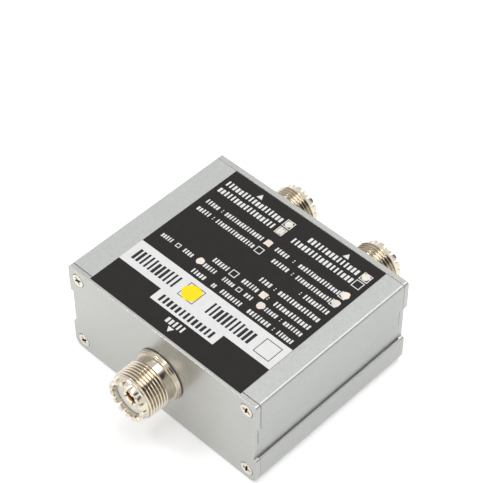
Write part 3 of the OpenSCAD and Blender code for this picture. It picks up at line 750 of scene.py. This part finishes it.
LABEL_LEFT = label_low.x / MM
LABEL_RIGHT = label_high.x / MM
LABEL_FRONT = label_low.y / MM
LABEL_REAR = label_high.y / MM
LABEL_MIDDLE = (LABEL_LEFT + LABEL_RIGHT) / 2
INK_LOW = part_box("label_white_print")[0].z / MM
INK_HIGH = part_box("label_white_print")[1].z / MM
SECOND_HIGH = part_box("label_black_print")[1].z / MM
THIRD_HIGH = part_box("label_yellow_mark")[1].z / MM
WHITE_LINE = 0.28
BLACK_LINE = 0.22

# The white field across the label and its tab, from the label's front edge and middle
FIELD_FRONT = 11.4
FIELD_REAR = 20.9
TAB_LEN = 4.5
TAB_HALF_W = 12.6
# Arrows: x of the rear ones from the label's middle, the tips' distances from the label's edges, and sizes
REAR_ARROWS_X = (-17.2, 17.6)
REAR_ARROW_INSET = 1.7
REAR_ARROW_LEN = 1.9
FRONT_ARROW_INSET = 1.4
FRONT_ARROW_LEN = 1.8
ARROW_HALF_W = 1.1
# White words on black: y, height, and start and end of each word
WORD_ROWS = [
    (24.2, 2.2, [(-28.0, -4.8), (5.7, 25.4)]),
    (20.7, 2.2, [(-28.0, -5.0), (2.2, 26.0)]),
    (14.7, 1.7, [(-27.2, -21.8), (-19.3, -3.8), (1.2, 6.5), (10.6, 26.4)]),
    (10.8, 1.7, [(-27.2, -21.8), (-19.3, -3.8), (3.5, 10.0), (13.0, 26.4)]),
    (7.0, 1.8, [(19.6, 29.2)]),
    (3.1, 1.8, [(13.5, 29.2), (5.9, 10.6)]),
    (-0.8, 1.8, [(15.3, 29.2), (2.7, 9.0), (-9.0, -2.8)]),
    (-4.2, 1.6, [(22.2, 29.2), (14.9, 19.7), (6.8, 10.0), (-1.9, 2.7), (-9.6, -4.6), (-18.0, -14.0),
                 (-27.0, -22.5)]),
    (-8.0, 1.7, [(23.2, 29.2), (11.7, 20.4), (1.0, 9.2), (-2.5, -0.9), (-10.7, -5.2)]),
    (-26.0, 2.2, [(-2.8, 4.4)]),
]
# Pairs of dots between words: half a dot's side, the two dots' heights on the row, and y and x of each pair
DOT_HALF = 0.18
DOT_SHIFTS = (-0.45, 0.35)
DOTS = [(14.7, -20.5), (10.8, -20.5), (14.7, 8.6), (10.8, 11.6), (7.0, 18.3), (3.1, 12.0), (-0.8, 12.9),
        (-4.2, 21.0), (-8.0, 21.8)]
# White outlined boxes: x, y and side
BOXES = [(27.9, 24.35, 3.2), (27.9, 20.8, 3.0), (-2.5, 24.35, 3.2), (-2.5, 20.8, 3.0), (-1.8, 10.85, 2.5),
         (27.7, 14.8, 2.5), (27.7, 10.9, 2.5), (-0.7, -0.8, 2.5), (4.6, -4.2, 1.7), (-20.2, -4.2, 1.6)]
# Black on the white field: boxes by x and words by start, end and seed, then the tab's word
BLACK_BOXES_X = (-4.2, 25.9)
BLACK_BOX_Y = -14.6
BLACK_BOX = 6.0
TITLE_WORDS = ((-27.2, -9.6, 1), (2.9, 20.5, 4))
TITLE_Y = -14.7
TITLE_H = 4.7
TITLE_PITCH = 0.34
TAB_WORD = (-10.0, 11.6)
TAB_WORD_Y = -21.6
TAB_WORD_H = 2.7
TAB_WORD_SEED = 2
# Paint dabs: x, y, radius, and whether the dab is round or square
DABS = [(27.8, 24.5, 1.32, True), (-2.5, 24.4, 1.25, True), (-2.5, 20.8, 1.2, False),
        (-1.8, 14.85, 1.25, False), (28.1, 15.3, 1.4, True), (28.1, 11.2, 1.35, True),
        (11.1, -0.8, 1.25, False), (13.3, -4.2, 1.35, True), (-11.2, -4.0, 1.3, True)]
YELLOW_AT = (-4.3, -14.6)
YELLOW_R = 3.1
YELLOW_SEED = 5
DAB_SIDES = 40
# Section of a dab's crown: share of the radius and of the height
DAB_LEVELS = ((1.0, 0.0), (0.97, 0.55), (0.85, 0.9), (0.55, 1.0))
# A square dab's side and corner reach, as shares of the radius
SQUARE_SIDE = 0.92
SQUARE_CORNER = 1.28


def make_white_print():
    sheet = Sheet(INK_LOW, INK_HIGH)
    field_front = LABEL_FRONT + FIELD_FRONT
    sheet.bar(LABEL_LEFT, LABEL_RIGHT, field_front, LABEL_FRONT + FIELD_REAR)
    sheet.bar(LABEL_MIDDLE - TAB_HALF_W, LABEL_MIDDLE + TAB_HALF_W, field_front - TAB_LEN, field_front)
    for row, (y, height, words) in enumerate(WORD_ROWS):
        for number, (x0, x1) in enumerate(words):
            sheet.word(x0, x1, y, height, row * 3 + number)
    for y, x in DOTS:
        for shift in DOT_SHIFTS:
            sheet.bar(x - DOT_HALF, x + DOT_HALF, y + shift - DOT_HALF, y + shift + DOT_HALF)
    for x, y, side in BOXES:
        sheet.square_ring(x, y, side, WHITE_LINE)
    tip = LABEL_REAR - REAR_ARROW_INSET
    foot = tip - REAR_ARROW_LEN
    for x in REAR_ARROWS_X:
        middle = LABEL_MIDDLE + x
        sheet.outline([(middle - ARROW_HALF_W, foot), (middle + ARROW_HALF_W, foot), (middle, tip)])
    tip = LABEL_FRONT + FRONT_ARROW_INSET
    foot = tip + FRONT_ARROW_LEN
    sheet.outline([(LABEL_MIDDLE, tip), (LABEL_MIDDLE + ARROW_HALF_W, foot),
                   (LABEL_MIDDLE - ARROW_HALF_W, foot)])
    add_piece("label_white", sheet.verts, sheet.faces, "white_ink", ["label_white_print"])


def make_black_print():
    sheet = Sheet(INK_HIGH, SECOND_HIGH)
    for x in BLACK_BOXES_X:
        sheet.square_ring(x, BLACK_BOX_Y, BLACK_BOX, BLACK_LINE)
    for x0, x1, seed in TITLE_WORDS:
        sheet.word(x0, x1, TITLE_Y, TITLE_H, seed, TITLE_PITCH)
    sheet.word(*TAB_WORD, TAB_WORD_Y, TAB_WORD_H, TAB_WORD_SEED)
    add_piece("label_black", sheet.verts, sheet.faces, "black_ink", ["label_black_print"])


def dab(x, y, radius, is_round, low, high, seed):
    """Points and faces of a small crowned blob of paint with an uneven outline."""
    verts = []
    faces = []
    for share, rise in DAB_LEVELS:
        for i in range(DAB_SIDES):
            angle = 2 * math.pi * i / DAB_SIDES
            wobble = 1 + 0.045 * math.sin(3 * angle + seed) + 0.035 * math.sin(5 * angle + 2.1 * seed)
            reach = radius * share * wobble
            if not is_round:
                reach *= min(SQUARE_CORNER, SQUARE_SIDE / max(abs(math.cos(angle)), abs(math.sin(angle))))
            verts.append(((x + reach * math.cos(angle)) * MM, (y + reach * math.sin(angle)) * MM,
                          (low + rise * (high - low)) * MM))
    last = len(DAB_LEVELS) - 1
    for level in range(last):
        for i in range(DAB_SIDES):
            j = (i + 1) % DAB_SIDES
            near = level * DAB_SIDES
            far = near + DAB_SIDES
            faces.append((near + i, near + j, far + j, far + i))
    faces.append(tuple(reversed(range(DAB_SIDES))))
    faces.append(tuple(last * DAB_SIDES + i for i in range(DAB_SIDES)))
    return verts, faces


def make_dabs():
    verts = []
    faces = []
    for seed, (x, y, radius, is_round) in enumerate(DABS):
        more_verts, more_faces = dab(x, y, radius, is_round, INK_LOW, SECOND_HIGH, seed)
        faces += [tuple(len(verts) + i for i in face) for face in more_faces]
        verts += more_verts
    add_piece("label_dabs", verts, faces, "pale_paint", ["label_pale_marks"])
    verts, faces = dab(*YELLOW_AT, YELLOW_R, True, INK_HIGH, THIRD_HIGH, YELLOW_SEED)
    add_piece("label_yellow_dab", verts, faces, "yellow_paint", ["label_yellow_mark"])


# Floor, backdrop and light, in metres and watts

FLOOR_SIZE = 6.0
# How far the floor lies under the case, so that the two don't share a plane
FLOOR_DROP = 0.0002
FLOOR_GREY = 0.96
# Glow of the floor where the camera, metal or glass shows it, and level of the world's light on the rest
FLOOR_LIFT = 0.31
WORLD_LEVEL = 0.555
# Dim parts of the studio, which the bright metal reflects: the direction of each, with the cosines where
# its fading starts and ends, and how dark they are
DIM_TOWARDS = (((0.64, 0.48, 0.59), 0.89, 0.95), ((0.70, 0.04, 0.71), 0.93, 0.97))
DIM_LEVEL = 0.18
# Area lamps, all turned to one point: place, size and power
LAMPS_AIM = (0, 0, 0.02)
LAMPS = {
    "key": ((0.22, 0.68, 1.87), (1.1, 2.0), 19.0),
    "edge": ((-0.94, -0.7, 1.62), (0.6, 0.3), 6.0),
    "fill": ((0.9, -1.7, 0.95), (1.8, 1.2), 7.0),
}


def make_stage():
    mesh = bpy.data.meshes.new("floor")
    h = FLOOR_SIZE / 2
    mesh.from_pydata([(-h, -h, 0), (h, -h, 0), (h, h, 0), (-h, h, 0)], [], [(0, 1, 2, 3)])
    floor = bpy.data.objects.new("floor", mesh)
    floor.location.z = -FLOOR_DROP
    bpy.context.scene.collection.objects.link(floor)
    m = Nodes("floor")
    m.set(Base_Color=(FLOOR_GREY, FLOOR_GREY, FLOOR_GREY, 1), Roughness=0.9, Specular_IOR_Level=0.0,
          Emission_Color=(1, 1, 1, 1))
    m.link(m.spread(m.seen_directly(), 0.0, FLOOR_LIFT, 0.0, 1.0), m.shader.inputs["Emission Strength"])
    mesh.materials.append(m.material)
    bpy.context.scene.world = make_world()


def make_world():
    """White where the camera, metal or glass shows it, plain studio light elsewhere, and dim towards two
    sides, except for the camera."""
    m = Nodes("studio", of_world=True)
    m.shader.inputs["Color"].default_value = (1, 1, 1, 1)
    direction = m.add("ShaderNodeTexCoord")
    light = m.spread(m.seen_directly(), WORLD_LEVEL, 1.0, 0.0, 1.0)
    for middle, start, end in DIM_TOWARDS:
        along = m.add("ShaderNodeVectorMath", operation="DOT_PRODUCT")
        along.inputs[1].default_value = Vector(middle).normalized()
        m.link(direction.outputs["Generated"], along.inputs[0])
        light = m.multiply(light, m.spread(along.outputs["Value"], 1.0, DIM_LEVEL, start, end))
    dimmed, white = MIX_NUMBERS
    shown = m.add("ShaderNodeMix")
    shown.inputs[white].default_value = 1.0
    m.link(m.add("ShaderNodeLightPath").outputs["Is Camera Ray"], shown.inputs[MIX_AMOUNT])
    m.link(light, shown.inputs[dimmed])
    m.link(shown.outputs[MIX_NUMBER_RESULT], m.shader.inputs["Strength"])
    return m.material


def add_light(name, place, size, watts):
    data = bpy.data.lights.new(name, "AREA")
    data.shape = "RECTANGLE"
    data.size = size[0]
    data.size_y = size[1]
    data.energy = watts
    lamp = bpy.data.objects.new(name, data)
    lamp.location = place
    lamp.rotation_euler = (Vector(LAMPS_AIM) - Vector(place)).to_track_quat("-Z", "Y").to_euler()
    bpy.context.scene.collection.objects.link(lamp)


# The scene

make_camera()
dress_cad_nodes()
for name in ("front_panel", "rear_panel"):
    bevelled_copy(name, "panel", 0.2, hole_share=0.18)
for name in ("upper_shell", "lower_shell"):
    bevelled_copy(name, "shell", 0.07)
for place, x, side in SOCKET_PLACES:
    make_socket(place, x, side)
for place, x, side in SOCKET_PLACES:
    make_contact(place, x, side)
make_screw_set("front_screws", "front_panel_screws", -1, (40, 30, 80, 74))
make_screw_set("rear_screws", "rear_panel_screws", 1, (15, 50, 80, 33))
make_white_print()
make_black_print()
make_dabs()
make_stage()
for name, (place, size, watts) in LAMPS.items():
    add_light(name, place, size, watts)
bpy.context.scene.view_settings.view_transform = "Standard"
